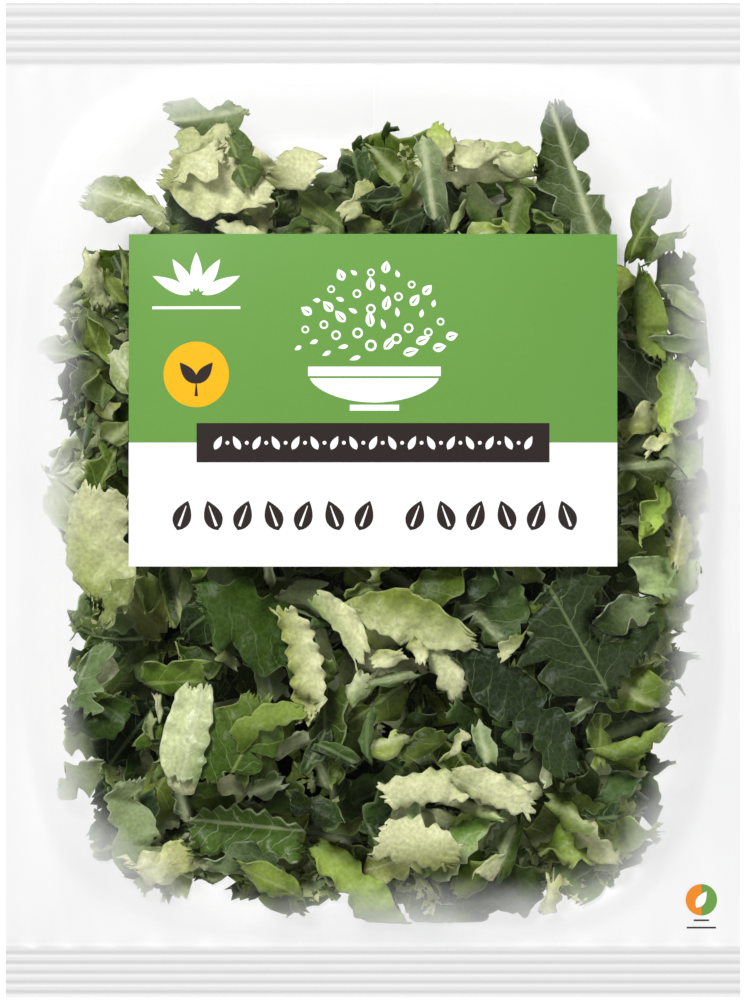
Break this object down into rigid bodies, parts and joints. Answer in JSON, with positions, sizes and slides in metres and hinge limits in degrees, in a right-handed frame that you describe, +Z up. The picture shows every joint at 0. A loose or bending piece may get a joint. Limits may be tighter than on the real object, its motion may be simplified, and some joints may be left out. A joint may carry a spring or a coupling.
{
  "type": "bag of chopped cabbage greens",
  "caption": "Sealed clear pillow bag of chopped cabbage greens with a green and white front label, lying flat on its back.",
  "frame": {"origin": "middle of the bag's outline, on the surface that it lies on", "axes": "+X across the bag, +Y along it from the bottom seal to the top seal, +Z up, out of the front face"},
  "size_m": [0.21, 0.284, 0.05],
  "materials": {
    "clear_film": "gloss",
    "label_print": "satin",
    "dark_leaf": "satin",
    "mid_leaf": "satin",
    "pale_leaf": "satin",
    "grey_leaf": "matte",
    "crinkle_strip": "satin",
    "rib_slice": "satin"
  },
  "bodies": {
    "root": {"crinkle_strip_01": "crinkle_strip", "crinkle_strip_02": "crinkle_strip", "crinkle_strip_03": "crinkle_strip", "crinkle_strip_04": "crinkle_strip", "crinkle_strip_05": "crinkle_strip", "dark_leaf_01": "dark_leaf", "dark_leaf_02": "dark_leaf", "dark_leaf_03": "dark_leaf", "dark_leaf_04": "dark_leaf", "dark_leaf_05": "dark_leaf", "dark_leaf_06": "dark_leaf", "dark_leaf_07": "dark_leaf", "dark_leaf_08": "dark_leaf", "dark_leaf_09": "dark_leaf", "dark_leaf_10": "dark_leaf", "dark_leaf_11": "dark_leaf", "dark_leaf_12": "dark_leaf", "film_bag": "clear_film", "front_label": "label_print", "grey_leaf_01": "grey_leaf", "grey_leaf_02": "grey_leaf", "grey_leaf_03": "grey_leaf", "grey_leaf_04": "grey_leaf", "grey_leaf_05": "grey_leaf", "grey_leaf_06": "grey_leaf", "grey_leaf_07": "grey_leaf", "grey_leaf_08": "grey_leaf", "grey_leaf_09": "grey_leaf", "mid_leaf_01": "mid_leaf", "mid_leaf_02": "mid_leaf", "mid_leaf_03": "mid_leaf", "mid_leaf_04": "mid_leaf", "mid_leaf_05": "mid_leaf", "mid_leaf_06": "mid_leaf", "mid_leaf_07": "mid_leaf", "mid_leaf_08": "mid_leaf", "mid_leaf_09": "mid_leaf", "mid_leaf_10": "mid_leaf", "mid_leaf_11": "mid_leaf", "mid_leaf_12": "mid_leaf", "pale_leaf_01": "pale_leaf", "pale_leaf_02": "pale_leaf", "pale_leaf_03": "pale_leaf", "pale_leaf_04": "pale_leaf", "pale_leaf_05": "pale_leaf", "pale_leaf_06": "pale_leaf", "pale_leaf_07": "pale_leaf", "rib_slice_01": "rib_slice", "rib_slice_02": "rib_slice", "rib_slice_03": "rib_slice", "rib_slice_04": "rib_slice", "rib_slice_05": "rib_slice"}
  },
  "joints": []
}
